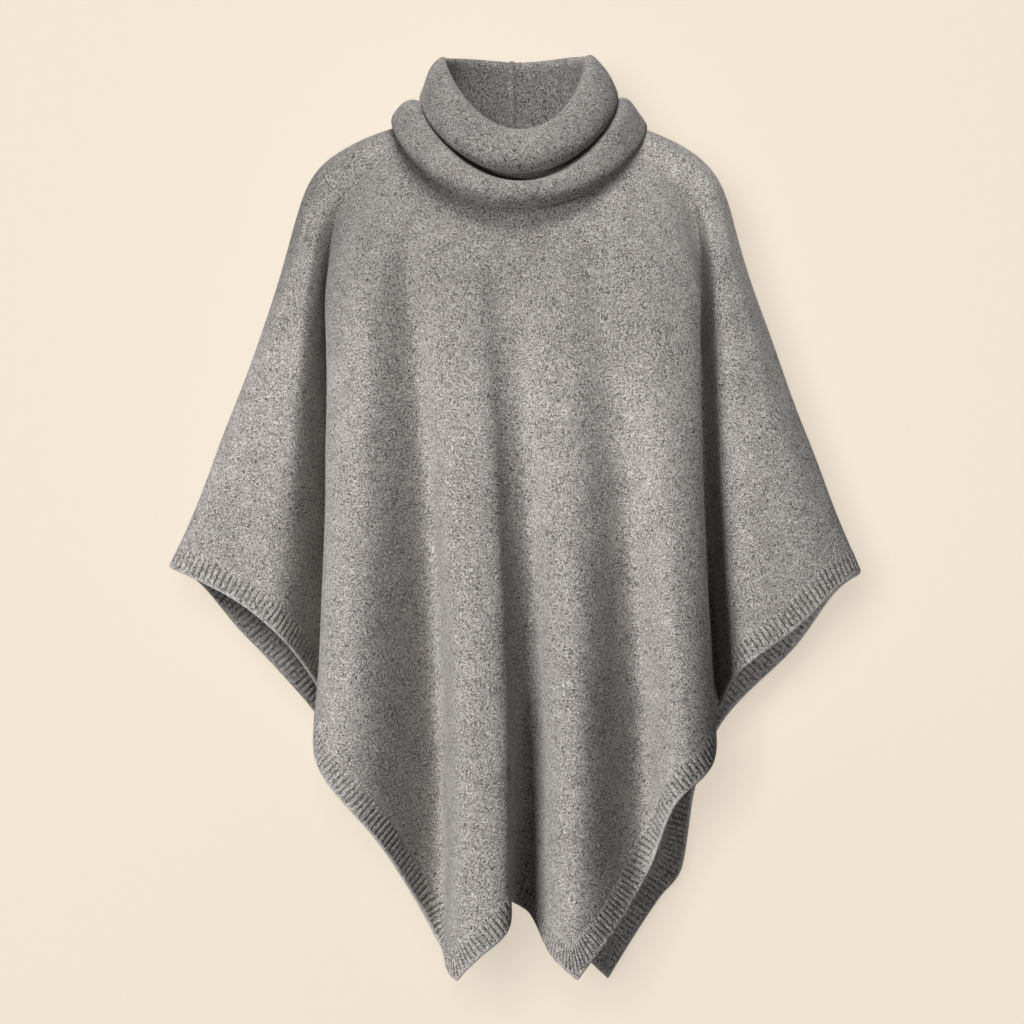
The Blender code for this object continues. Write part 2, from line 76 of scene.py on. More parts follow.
# The hang lines, in order round the poncho from the -X arm over the front.
# turn: degrees round the neck seam from the front, + towards +X.
# dip, out, down: how steeply the yoke leaves the seam in degrees, and its two handles as
# shares of the way to the chest.
# chest and hem: where the line passes the chest and where it ends.
# bow: sideways bulge half way down. deep: how much deeper the fold is two thirds of the
# way down than a straight line would be. corner: 1 where the hem has a sharp corner.
LINES = np.array(
    [
        ("arm_minus", -90, 12, 0.69, 0.50, -244, 2, -350, 2, -406, 5, 0, 1),
        ("wing_minus_edge", -85, 13, 0.66, 0.49, -238, -17, -338, -13, -413, 4, 0, 0),
        ("wing_minus_face", -80, 17, 0.54, 0.45, -222, -31, -282, -29, -441, 0, 0, 0),
        ("wing_minus_turn", -75, 20, 0.50, 0.44, -208, -36, -238, -34, -475, 0, 0, 0),
        ("valley_minus", -71, 23, 0.48, 0.43, -191, 7, -195, 29, -540, 0, 0, 0),
        ("side_minus", -67, 26, 0.48, 0.42, -192, -38, -202, -44, -560, 6, 0, 0),
        ("edge_minus", -60, 32, 0.44, 0.40, -187, -66, -201, -86, -597, 5, 0, 0),
        ("crest_1", -46, 44, 0.38, 0.36, -156, -103, -155, -108, -654, 0, 0, 0),
        ("valley_1", -32, 54, 0.35, 0.35, -107, -88, -76.5, -62, -785, 11, 22, 0),
        ("point_minus", -24, 58, 0.35, 0.35, -80, -107, -61, -108, -811, 10, 0, 1),
        ("crest_2", -15, 62, 0.35, 0.35, -52, -113, -33, -119, -783, 2, 0, 0),
        ("flank_2", -11, 63, 0.35, 0.35, -36, -113, -8, -108, -757, 7, 0, 0),
        ("notch", -8, 64, 0.35, 0.35, -27, -110, -7, -80, -733, 9, 0, 1),
        ("valley_2", -3, 65, 0.35, 0.35, -8, -107, 9, -43, -749, 13, 2, 0),
        ("flank_3", 4, 65, 0.35, 0.35, 13, -111, 31, -88, -785, 8, 0, 0),
        ("crest_3", 12, 63, 0.35, 0.35, 42, -114, 58, -118, -809, 12, 0, 1),
        ("valley_3", 26, 57, 0.35, 0.35, 82, -107, 126, -76, -711, 11, 19, 0),
        ("crest_4", 42, 45, 0.38, 0.36, 130, -106, 154, -110, -638, 4, 0, 0),
        ("edge_plus", 58, 33, 0.43, 0.40, 175, -82, 190.5, -92, -602, -2, 0, 0),
        ("side_plus", 66, 26, 0.46, 0.42, 178, -48, 194.5, -46, -565, -5, 0, 0),
        ("valley_plus", 71, 23, 0.48, 0.43, 183, -12, 203, 6, -550, -4, 0, 0),
        ("wing_plus_turn", 76, 20, 0.50, 0.44, 194, -48, 218, -47, -512, -1, 0, 0),
        ("wing_plus_face", 80, 17, 0.54, 0.45, 213, -48, 270, -51, -473, 0, 0, 0),
        ("wing_plus_edge", 86, 15, 0.62, 0.49, 231, -23, 330, -20, -421, -2, 0, 0),
        ("arm_plus", 90, 15, 0.69, 0.50, 237, 2, 344, 2, -411, -2, 0, 1),
        ("back_wing_plus_edge", 95, 15, 0.62, 0.49, 231, 20, 330, 15, -424, -2, 0, 0),
        ("back_wing_plus", 101, 17, 0.54, 0.45, 212, 34, 278, 28, -491, 0, 0, 0),
        ("back_valley_plus", 108, 22, 0.50, 0.44, 192, 42, 206, 42, -568, 0, 0, 0),
        ("back_edge_plus", 118, 30, 0.45, 0.40, 174, 72, 182, 88, -640, 0, 0, 0),
        ("back_roll_plus", 126, 36, 0.41, 0.39, 154, 88, 168, 104, -722, 0, 0, 0),
        ("back_crest_1", 133, 42, 0.38, 0.36, 130, 98, 148, 110, -748, 0, 0, 0),
        ("back_point_plus", 145, 50, 0.35, 0.35, 88, 96, 92, 100, -832, 0, 0, 1),
        ("back_valley_1", 152, 53, 0.35, 0.35, 62, 94, 66, 86, -804, 0, 0, 0),
        ("back_crest_2", 166, 56, 0.35, 0.35, 28, 101, 34, 108, -752, 0, 0, 0),
        ("back_notch", 176, 57, 0.35, 0.35, 0, 98, 12, 92, -738, 0, 0, 1),
        ("back_valley_2", 184, 57, 0.35, 0.35, -16, 96, -8, 82, -752, 0, 0, 0),
        ("back_crest_3", 196, 55, 0.35, 0.35, -46, 101, -40, 106, -778, 0, 0, 0),
        ("back_point_minus", 205, 52, 0.35, 0.35, -70, 98, -60, 98, -792, 0, 0, 1),
        ("back_valley_3", 216, 48, 0.36, 0.36, -100, 95, -98, 86, -735, 0, 0, 0),
        ("back_crest_4", 229, 42, 0.38, 0.36, -140, 97, -146, 108, -662, 0, 0, 0),
        ("back_edge_minus", 243, 30, 0.45, 0.40, -182, 72, -184, 86, -602, 0, 0, 0),
        ("back_valley_minus", 252, 22, 0.50, 0.44, -202, 42, -207, 42, -555, 0, 0, 0),
        ("back_wing_minus", 259, 17, 0.54, 0.45, -220, 34, -274, 28, -479, 0, 0, 0),
        ("back_wing_minus_edge", 265, 13, 0.66, 0.49, -238, 20, -337, 15, -413, 4, 0, 0),
    ],
    dtype=[("name", "U24")]
    + [
        (column, float)
        for column in (
            "turn", "dip", "out", "down", "chest_x", "chest_y",
            "hem_x", "hem_y", "hem_z", "bow", "deep", "corner",
        )
    ],
)  # fmt: skip


def line_index(name):
    """Which hang line has this name."""
    return int(np.flatnonzero(LINES["name"] == name)[0])


def hanging(z):
    """Every hang line's points at each height.

    x goes straight from chest to hem but for the line's bow. y sets off late, once the
    fold has started, and goes deeper than a straight line by deep at the most.
    """
    fall = (CHEST_Z - z[:, None]) / (CHEST_Z - LINES["hem_z"])
    bulge = LINES["bow"] * np.clip(4 * fall * (1 - fall), 0, None)
    x = LINES["chest_x"] + (LINES["hem_x"] - LINES["chest_x"]) * fall + bulge
    late = fall - FOLD_START * (1 - np.exp(-np.maximum(fall, 0) / FOLD_START))
    late /= 1 - FOLD_START * (1 - np.exp(-1 / FOLD_START))
    y = LINES["chest_y"] + (LINES["hem_y"] - LINES["chest_y"]) * late
    y += LINES["deep"] * 27 / 4 * late**2 * (1 - late)
    return np.stack([x, y, np.broadcast_to(z[:, None], x.shape)], axis=-1)


def neck_seam(turn):
    """Points of the neck seam: an oval that sinks at the front."""
    rise = np.where(
        np.cos(turn) > 0, 0.5 * (1 - np.cos(turn) + np.sin(turn) ** 2), 1.0
    )
    return np.stack(
        [
            NECK["x"] + NECK["wide"] * np.sin(turn),
            NECK["y"] - NECK["deep"] * np.cos(turn),
            NECK["front_z"] + (NECK["side_z"] - NECK["front_z"]) * rise,
        ],
        axis=-1,
    )


def eased(points, times):
    """Each line's point moved towards its neighbours', so that folds fade out over the yoke."""
    for _ in range(times):
        points = (np.roll(points, 1, axis=0) + 2 * points + np.roll(points, -1, axis=0)) / 4
    return points


def yoke_handles():
    """The four Bezier points of every line from the neck seam to the chest."""
    start = neck_seam(np.radians(LINES["turn"]))
    levels = np.array([CHEST_Z, CHEST_Z - 1.0])
    chest, below = hanging(levels)
    way = chest - start
    reach = np.linalg.norm(way, axis=1, keepdims=True)
    level = way[:, :2] / np.linalg.norm(way[:, :2], axis=1, keepdims=True)
    dip = np.radians(LINES["dip"])[:, None]
    leave = np.hstack([level * np.cos(dip), -np.sin(dip)])
    arrive = (below - chest) / np.linalg.norm(below - chest, axis=1, keepdims=True)
    shoulder = eased(start + leave * reach * LINES["out"][:, None], 2)
    return start, shoulder, eased(chest - arrive * reach * LINES["down"][:, None], 3), chest


HANDLES = yoke_handles()


def lines_at(drop):
    """Every hang line's point for each drop: millimetres below the chest, or from it up."""
    share = np.clip(1 + drop / YOKE, 0, 1)[:, None, None]
    a, b, c, d = HANDLES
    yoke = (
        (1 - share) ** 3 * a
        + 3 * (1 - share) ** 2 * share * b
        + 3 * (1 - share) * share**2 * c
        + share**3 * d
    )
    return np.where(drop[:, None, None] < 0, yoke, hanging(CHEST_Z - np.maximum(drop, 0)))


def knots():
    """How far round the cloth each line is, measured part of the way down."""
    ring = lines_at(np.array([300.0]))[0]
    steps = np.linalg.norm(np.roll(ring, -1, axis=0) - ring, axis=1)
    return np.concatenate([[0], np.cumsum(steps)])


KNOTS = knots()


def curvature_weights():
    """What each line adds to the second derivative of the closed cubic spline at each knot."""
    step = np.diff(KNOTS)
    before = np.roll(step, 1)
    unit = np.eye(len(step))
    forward = np.roll(unit, -1, axis=0).T
    system = 2 * np.diag(before + step)
    system += np.roll(np.diag(step), 1, axis=1) + np.roll(np.diag(before), -1, axis=1)
    slope = (forward.T - unit) / step[:, None]
    return np.linalg.solve(system, 6 * (slope - np.roll(slope, 1, axis=0)))


CURVATURE = curvature_weights()


def weights(along):
    """How much of each line makes up the cloth at each distance round it."""
    count = len(KNOTS) - 1
    along = np.mod(along, KNOTS[-1])
    here = np.clip(np.searchsorted(KNOTS, along, side="right") - 1, 0, count - 1)
    step = (KNOTS[here + 1] - KNOTS[here])[:, None]
    b = (along - KNOTS[here])[:, None] / step
    a = 1 - b
    after = (here + 1) % count
    unit = np.eye(count)
    bend = (a**3 - a) * CURVATURE[here] + (b**3 - b) * CURVATURE[after]
    return a * unit[here] + b * unit[after] + bend * step**2 / 6


def softened(lines, step):
    """The lines' points with their bend over the chest eased, which a running mean does."""
    half, reach = 16, 70.0  # samples on each side, and how far from the chest it fades out
    pad = np.pad(lines, ((half, half), (0, 0), (0, 0)), "reflect", reflect_type="odd")
    bell = np.hanning(2 * half + 3)[1:-1]
    mean = sum(w * pad[i : i + len(lines)] for i, w in enumerate(bell / bell.sum()))
    drop = -YOKE + step * np.arange(len(lines))
    near = np.exp(-((drop / reach) ** 4))[:, None, None]
    return lines + (mean - lines) * near


DROP_STEP = 2.0  # between the samples of every line
EASED_LINES = softened(lines_at(np.arange(-YOKE, 900, DROP_STEP)), DROP_STEP)


def cloth(along, drop):
    """Points of the cloth's outer face: the hang lines at this drop, joined by the spline."""
    at = np.clip((drop + YOKE) / DROP_STEP, 0, len(EASED_LINES) - 2)
    low = at.astype(int)
    share = (at - low)[:, None, None]
    lines = EASED_LINES[low] * (1 - share) + EASED_LINES[low + 1] * share
    return np.einsum("kn,knc->kc", weights(along), lines)


def slopes(along, drop, reach=2.0):
    """Which way the outer face runs round the cloth and up it, per millimetre of each."""
    round_it = cloth(along + reach, drop) - cloth(along - reach, drop)
    low = drop + reach
    high = np.maximum(drop - reach, -YOKE)
    up_it = cloth(along, high) - cloth(along, low)
    return round_it / (2 * reach), up_it / (low - high)[:, None]


def unit(vectors):
    return vectors / np.linalg.norm(vectors, axis=-1, keepdims=True)


def outward(along, drop):
    return unit(np.cross(*slopes(along, drop)))


def hem_drop(along):
    """How far below the chest the hem is: smooth between its sharp corners."""
    count = len(LINES)
    corners = np.flatnonzero(LINES["corner"])
    out = np.empty_like(along)
    where = np.mod(along, KNOTS[-1])
    for first, last in zip(corners, np.append(corners[1:], corners[0] + count)):
        index = np.arange(first, last + 1)
        at = KNOTS[index % count] + KNOTS[-1] * (index // count)
        value = CHEST_Z - LINES["hem_z"][index % count]
        inside = np.where(where < at[0], where + KNOTS[-1], where)
        span = (inside >= at[0] - 1e-9) & (inside <= at[-1] + 1e-9)
        out[span] = monotone(at, value, inside[span])
    return out


def monotone(at, value, where):
    """A curve through the values that doesn't swing past them."""
    step, rise = np.diff(at), np.diff(value) / np.diff(at)
    slope = np.empty_like(value)
    slope[0], slope[-1] = rise[0], rise[-1]
    same = rise[1:] * rise[:-1] > 0
    harmonic = 3 * (step[1:] + step[:-1])
    with np.errstate(divide="ignore", invalid="ignore"):
        mean = harmonic / (
            (2 * step[1:] + step[:-1]) / rise[:-1] + (step[1:] + 2 * step[:-1]) / rise[1:]
        )
    slope[1:-1] = np.where(same, mean, 0)
    i = np.clip(np.searchsorted(at, where, side="right") - 1, 0, len(step) - 1)
    t = (where - at[i]) / step[i]
    return (
        value[i] * (1 + 2 * t) * (1 - t) ** 2
        + step[i] * slope[i] * t * (1 - t) ** 2
        + value[i + 1] * t**2 * (3 - 2 * t)
        + step[i] * slope[i + 1] * t**2 * (t - 1)
    )


def smoothed(values, half):
    """A running mean over half the samples on each side, with both ends held."""
    before = 2 * values[0] - values[half:0:-1]
    after = 2 * values[-1] - values[-2 : -half - 2 : -1]
    total = np.cumsum(np.concatenate([[0], before, values, after]))
    return (total[2 * half + 1 :] - total[: -2 * half - 1]) / (2 * half + 1)


def without_loops(points):
    """Which points of a flat line stay when it is cut short wherever it crosses itself."""
    start, way = points[:-1], np.diff(points, axis=0)
    keep = np.ones(len(points), bool)
    gap = start[None] - start[:, None]
    turn = way[:, None, 0] * way[None, :, 1] - way[:, None, 1] * way[None, :, 0]
    with np.errstate(divide="ignore", invalid="ignore"):
        on_first = (gap[..., 0] * way[None, :, 1] - gap[..., 1] * way[None, :, 0]) / turn
        on_last = (gap[..., 0] * way[:, None, 1] - gap[..., 1] * way[:, None, 0]) / turn
    crossing = (on_first >= 0) & (on_first <= 1) & (on_last >= 0) & (on_last <= 1)
    for first, last in np.argwhere(np.triu(crossing, 2)):
        keep[first + 1 : last + 1] = False
    return keep


def hem_rungs(first, last, samples=1201):
    """Where the ribs of one panel's band lie, at the hem and at the band's top.

    The band's top is as far from the hem everywhere, so it meets in a mitre above each
    point of the hem. The ribs stand square to the hem, fan out towards its corners, and
    turn parallel to the arm's edge at the wing tips.
    """
    along = np.linspace(first, last, 3001)
    points = cloth(along, hem_drop(along))
    length = np.concatenate(
        [[0], np.cumsum(np.linalg.norm(np.diff(points, axis=0), axis=1))]
    )
    even = np.linspace(0, length[-1], samples)
    along = np.interp(even, length, along)
    drop = hem_drop(along)
    points = cloth(along, drop)
    per_mm = 1 / (even[1] - even[0])

    to_tip = np.clip(np.minimum(even, even[-1] - even) / TIP_EASE, 0, 1)
    tip = 1 - to_tip**2 * (3 - 2 * to_tip)
    top = np.stack([along, drop], axis=1)
    for step in range(BAND_STEPS):
        round_it, up_it = slopes(*top.T)
        level = unit(round_it)
        rise = unit(up_it - np.sum(up_it * level, axis=1, keepdims=True) * level)
        if step == 0:
            tangent = np.gradient(points, even, axis=0)
            tilt = np.arctan2(
                np.sum(tangent * rise, axis=1), np.sum(tangent * level, axis=1)
            )
            tilt = smoothed(tilt, round(CORNER_SWEEP * per_mm))
        across, upward = np.sum(up_it * level, axis=1), np.sum(up_it * rise, axis=1)
        lean = tilt + (np.arctan2(-across, upward) - tilt) * tip
        up = np.cos(lean) / upward
        sideways = (-np.sin(lean) - up * across) / np.linalg.norm(round_it, axis=1)
        top += BAND / BAND_STEPS * np.stack([sideways, -up], axis=1)
    keep = without_loops(top)
    kept = top[keep]
    steps = np.linalg.norm(np.diff(cloth(*kept.T), axis=0), axis=1)
    top_length = np.concatenate([[0], np.cumsum(steps)])
    match = np.interp(np.arange(len(even)), np.flatnonzero(keep), top_length)
    match = smoothed(match, round(CORNER_EASE * per_mm))

    ribs = int(round(even[-1] / RIB_PITCH))
    at = np.linspace(0, even[-1], 2 * ribs + 1)
    top_at = np.interp(at, even, match)
    hem = np.stack([np.interp(at, even, along), np.interp(at, even, drop)], axis=1)
    top = np.stack([np.interp(top_at, top_length, kept[:, i]) for i in (0, 1)], axis=1)
    top[:, 0] = np.maximum.accumulate(top[:, 0])
    return hem, top


# The cowl's profile, mid-wall, from the neck seam outwards and up: the distance from the
# neck's axis and the height, at the front, at the wearer's right and left, and at the back.
# lift: how much higher it stands half way from the sides to the back.
# sag: how much lower it hangs half way from the sides to the front.
COWL = np.array(
    [
        ("neck", 78.7, -38, 89.5, 41.5, 89.5, 41.5, 79.0, 47, 0, 0),
        ("arch", 83.5, -33.4, 93, 46.8, 93, 46.8, 83, 52, 0, 0),
        ("fall", 91, -41, 102, 43.0, 102, 43.0, 91, 48, 0, 0),
        ("ring_under", 102, -51.5, 111, 36.5, 112, 34.5, 101, 42, 0, 6),
        ("ring_low", 114, -53.5, 120, 32, 121, 28, 110, 41, 0, 7),
        ("ring_out", 119.5, -44, 127.5, 39, 125.8, 34.5, 115, 48, 0, 6),
        ("ring_top", 115, -35, 122.5, 50.5, 117, 48.5, 110, 57, 0, 3),
        ("ring_in", 103, -30, 107.5, 60, 103.5, 62, 100, 60, 0, 0),
        ("tuck", 86, -29, 89, 54, 88, 55, 89, 60, 0, 0),
        ("roll_under", 93, -21, 92, 59, 90, 60, 88, 65.5, 0, 0),
        ("roll_low", 105, -19.5, 99, 63, 96.5, 65, 90, 70, 0, 0),
        ("roll_out", 109.5, -9, 96, 73, 93.7, 74.5, 89, 78, 0, 0),
        ("roll_mid", 103.5, 5, 92, 84.5, 88, 86, 87, 88, 1, 0),
        ("roll_high", 93, 16.5, 86.5, 95.5, 79.5, 97, 82, 98, 2, 0),
        ("rim", 79, 22.5, 78, 102.5, 70.5, 104.5, 75, 105, 2.5, 0),
        ("lip", 69, 18, 75, 98, 65, 99, 68, 101, 2.5, 0),
        ("inside", 64, 5, 76, 78, 67, 78, 66, 78, 1, 0),
        ("edge", 62, -18, 74, 30, 70, 30, 64, 26, 0, 0),
    ],
    dtype=[("name", "U12")]
    + [
        (column, float)
        for column in (
            "front_r", "front_z", "right_r", "right_z", "left_r", "left_z",
            "back_r", "back_z", "lift", "sag",
        )
    ],
)  # fmt: skip


def mesh_piece(name, points, faces, material, values=None):
    """A smooth-shaded object from points in millimetres and rows of four point numbers.

    values holds numbers for every point, by the name of the attribute that carries them.
    """
    mesh = bpy.data.meshes.new(name)
    mesh.from_pydata((points * 0.001).tolist(), [], faces.tolist())
    for key, numbers in (values or {}).items():
        attribute = mesh.attributes.new(key, "FLOAT", "POINT")
        attribute.data.foreach_set("value", np.ascontiguousarray(numbers, np.float32).ravel())
    mesh.shade_smooth()
    mesh.materials.append(material)
    piece = bpy.data.objects.new(name, mesh)
    bpy.context.collection.objects.link(piece)
    return piece


def quads(rows, columns, across=False, along=False):
    """Faces of a grid numbered row by row; it may close on itself across or along its rows."""
    i = np.arange(rows if along else rows - 1)[:, None]
    j = np.arange(columns if across else columns - 1)[None]
    up, on = (i + 1) % rows, (j + 1) % columns
    corners = [i * columns + j, i * columns + on, up * columns + on, up * columns + j]
    return np.stack(np.broadcast_arrays(*corners), axis=-1).reshape(-1, 4)


def undulation(points):
    """How far the knit stands out or in at each point: a few slow waves across it, in mm."""
    ways = WAVES["way"] @ points.T
    return (WAVES["high"][:, None] * np.sin(ways + WAVES["start"][:, None])).sum(axis=0)


def slow_waves(count=14, seed=5):
    """Waves of 60 to 220 mm in random directions, each a fraction of a millimetre high."""
    rng = np.random.default_rng(seed)
    length = rng.uniform(60, 220, count)
    way = unit(rng.normal(size=(count, 3))) * (2 * np.pi / length)[:, None]
    high = rng.uniform(0.5, 1.0, count) * length / 420
    return dict(way=way, high=high, start=rng.uniform(0, 2 * np.pi, count))


WAVES = slow_waves()


def face_and_normal(along, drop):
    """The outer face with its slow waves, and the way it faces."""
    normal = outward(along, drop)
    points = cloth(along, drop)
    return points + undulation(points)[:, None] * normal, normal


def panel(name, first, last, material, columns=430, hang_rows=80, yoke_rows=30):
    """Front or back of the body: a grid from the neck seam down to the top of its band.

    Columns run down the cloth at even steps round it. The wall is two such grids, WALL
    apart along the normal, joined round their edges. Its lowest rows are thinner and lie
    inside the band's.
    """
    hem, top = hem_rungs(first, last)
    along = np.linspace(first, last, columns)
    bottom = np.interp(along, *top.T)
    share = np.linspace(1, 0, hang_rows + 1)[:, None]
    up = np.linspace(0, -YOKE, yoke_rows + 1)[1:, None]
    up = np.broadcast_to(up, (yoke_rows, columns))
    drop = np.vstack([bottom + LAP / 2, bottom * share, up])
    rows = len(drop)
    face, normal = face_and_normal(np.tile(along, rows), drop.ravel())
    # The two lowest rows are sunk by this much on each side.
    sunk = np.zeros((len(face), 1))
    sunk[: 2 * columns] = np.repeat([0.9, 0.25], columns)[:, None]
    outer = quads(rows, columns)
    inner = outer[:, ::-1] + rows * columns
    number = np.arange(rows * columns).reshape(rows, columns)
    edge = np.concatenate([number[0], number[1:, -1], number[-1, -2::-1], number[-2:0:-1, 0]])
    after, under = np.roll(edge, -1), rows * columns
    rim = np.stack([after, edge, edge + under, after + under], axis=-1)
    points = np.vstack([face - sunk * normal, face - (WALL - sunk) * normal])
    return mesh_piece(name, points, np.vstack([outer, inner, rim]), material)


def smoothstep(low, high, value):
    t = np.clip((value - low) / (high - low), 0, 1)
    return t * t * (3 - 2 * t)


def band(name, first, last, material, seed, to_rib=9):
    """A knitted rib along the hem, as a profile carried along it.

    The profile comes down the outer face, round the bound-off edge and up the inner face.
    Ribs are waves along the hem, wide on the crest and narrow in the groove, which fade out
    over the bound-off edge and, each at its own height, into the cloth above.
    """
    hem, top = hem_rungs(first, last)
    ribs = (len(hem) - 1) // 2
    at = np.arange(ribs * to_rib + 1) / to_rib
    rung = np.arange(len(hem)) / 2
    hem, top = (
        np.stack([np.interp(at, rung, ends[:, i]) for i in (0, 1)], axis=1)
        for ends in (hem, top)
    )
    # Three random numbers for each rib: where it fades out, its place and its depth.
    rng = np.random.default_rng(seed)
    own = rng.normal(size=(3, ribs + 1))[:, np.minimum(np.round(at).astype(int), ribs)]

    # The profile: height above the hem, and how far out from the cloth's outer face.
    edge = np.radians([75, 50, 25, 0, -25, -50, -75])
    round_off = EDGE_ROUND - EDGE_ROUND * np.cos(edge)
    round_off = np.stack([round_off, -WALL / 2 * (1 - np.sin(edge))], axis=1)
    down = np.concatenate([[BAND + LAP, BAND + LAP / 2], np.linspace(BAND, EDGE_ROUND, 20)])
    sunk = np.where(down > BAND, (down - BAND) / LAP, 0) * 0.6
    outside = np.stack([down, -sunk], axis=1)
    inside = np.stack([down, sunk - WALL], axis=1)[::-1][::2]
    profile = np.vstack([outside, round_off, inside])

    height, offset = profile[:, :1], profile[:, 1:]
    fade = smoothstep(BIND_OFF - 1.5, BIND_OFF + 1.5, height + own[2] * 0.6)
    fade = fade * (1 - smoothstep(BAND - 6 + own[0] * 1.6, BAND - 0.5, height))
    phase = at + RIB_WANDER * own[1]
    groove = (0.5 + 0.5 * np.cos(2 * np.pi * phase)) ** RIB_NARROW
    ridge = (0.5 - 0.5 * np.cos(2 * np.pi * phase)) ** RIB_NARROW
    deep = RIB_RISE + RIB_GROOVE * (1 + RIB_UNEVEN * own[2])
    relief = np.where(
        offset > -WALL / 2, RIB_RISE - deep * groove, -RIB_RISE + deep * ridge
    )
    bead = BOUND_RISE * np.exp(-(((height - BOUND_AT) / BOUND_WIDE) ** 2))
    bound = bead * np.sign(offset + WALL / 2)
    depth = offset + relief * fade + bound

    share = height / BAND
    place = hem + (top - hem) * share[..., None]
    along, drop = place[..., 0].ravel(), place[..., 1].ravel()
    face, normal = face_and_normal(along, drop)
    points = face + depth.reshape(-1, 1) * normal
    faces = quads(len(profile), len(at), along=True)[:, ::-1]
    # How far into its groove each point lies, for the painted shade that darkens the grooves
    painted_groove_shade = np.where(offset > -WALL / 2, groove, ridge) * fade
    values = {
        "painted_groove_shade": painted_groove_shade,
        "across": np.broadcast_to(at * RIB_PITCH, depth.shape),
        "height": np.broadcast_to(height, depth.shape),
    }
    return mesh_piece(name, points, faces, material, values)


def spline(values, at):
    """The natural cubic spline through rows of values at whole numbers, for each at."""
    count = len(values)
    system = 4 * np.eye(count) + np.eye(count, k=1) + np.eye(count, k=-1)
    system[0, :2], system[-1, -2:] = (1, 0), (0, 1)
    flat = values.reshape(count, -1)
    bend = np.zeros_like(flat)
    bend[1:-1] = 6 * (flat[2:] - 2 * flat[1:-1] + flat[:-2])
    bend = np.linalg.solve(system, bend)
    low = np.clip(at.astype(int), 0, count - 2)
    b = (at - low)[:, None]
    a = 1 - b
    out = a * flat[low] + b * flat[low + 1]
    out += ((a**3 - a) * bend[low] + (b**3 - b) * bend[low + 1]) / 6
    return out.reshape(len(at), *values.shape[1:])


def cowl(name, material, columns=320, rows=150):
    """One knitted tube that leaves the neck seam, drops into a low ring and turns up as a roll.

    The profile is the spline through the rows of COWL, blended between front, sides and
    back as it goes round the neck. The wall is half of WALL to each side of it, but its
    outer half is pinched in the two tight creases, at the neck and above the ring. The
    tube's own seam runs down the centre back, a ridge between two grooves, with columns
    closer together there.
    """
    close = COLLAR_SEAM + np.linspace(-0.07, 0.07, 27)
    turn = np.linspace(0, 2 * np.pi, columns - len(close), endpoint=False)
    turn = np.sort(np.concatenate([turn[np.abs(turn - COLLAR_SEAM) > 0.075], close]))
    columns = len(turn)
    around = np.linspace(0, KNOTS[-1], 2881)
    seam = cloth(around, np.full(len(around), -YOKE))
    angle = np.unwrap(np.arctan2(seam[:, 0] - NECK["x"], NECK["y"] - seam[:, 1]))
    along = np.interp(np.mod(turn - angle[0], 2 * np.pi) + angle[0], angle, around)
    drop = np.full(columns, -YOKE)
    seam, seam_out = face_and_normal(along, drop)

    front = np.clip(np.cos(turn), 0, None)
    low = 1 - np.where(front > 0, 0.5 * (1 - np.cos(turn) + np.sin(turn) ** 2), 1.0)
    behind = np.clip(-np.cos(turn), 0, None) ** 2
    knots = [seam - WALL / 2 * seam_out]
    for row in COWL:
        r, z = (
            side + (row["front_" + c] - side) * low + (row["back_" + c] - side) * behind
            for c, side in (
                (c, np.where(np.sin(turn) > 0, row["left_" + c], row["right_" + c]))
                for c in "rz"
            )
        )
        z = z + row["lift"] * 4 * behind * (1 - behind) - row["sag"] * 4 * low * (1 - low)
        knots.append(
            np.stack([NECK["x"] + r * np.sin(turn), NECK["y"] - r * np.cos(turn), z], axis=-1)
        )
    rising = np.linspace(0, len(knots) - 1, rows)
    middle = spline(np.array(knots), rising)
    upward = np.gradient(middle, axis=0)
    sideways = np.roll(middle, -1, axis=1) - np.roll(middle, 1, axis=1)
    outer_way = unit(np.cross(sideways, upward))
    outer_way[0] = seam_out
    from_seam = (turn - COLLAR_SEAM) * COLLAR_RADIUS
    seam_rise = SEAM_RISE * np.exp(-((from_seam / SEAM_WIDE) ** 2))
    beside = (np.abs(from_seam) - GROOVE_AT) / GROOVE_WIDE
    seam_rise -= SEAM_GROOVE * np.exp(-(beside**2))
    thick = (WALL / 2 + seam_rise)[:, None]
    pinch = np.ones((rows, 1, 1))
    for row in np.flatnonzero(np.isin(COWL["name"], ("neck", "tuck"))):
        pinch[:, 0, 0] -= PINCH * np.exp(-(((rising - 1 - row) / PINCH_ROWS) ** 2))
    sides = [middle + pinch * thick * outer_way, middle - thick * outer_way]
    points = np.vstack([sides[0], sides[1][::-1]]).reshape(-1, 3)
    return mesh_piece(name, points, quads(2 * rows, columns, across=True, along=True), material)


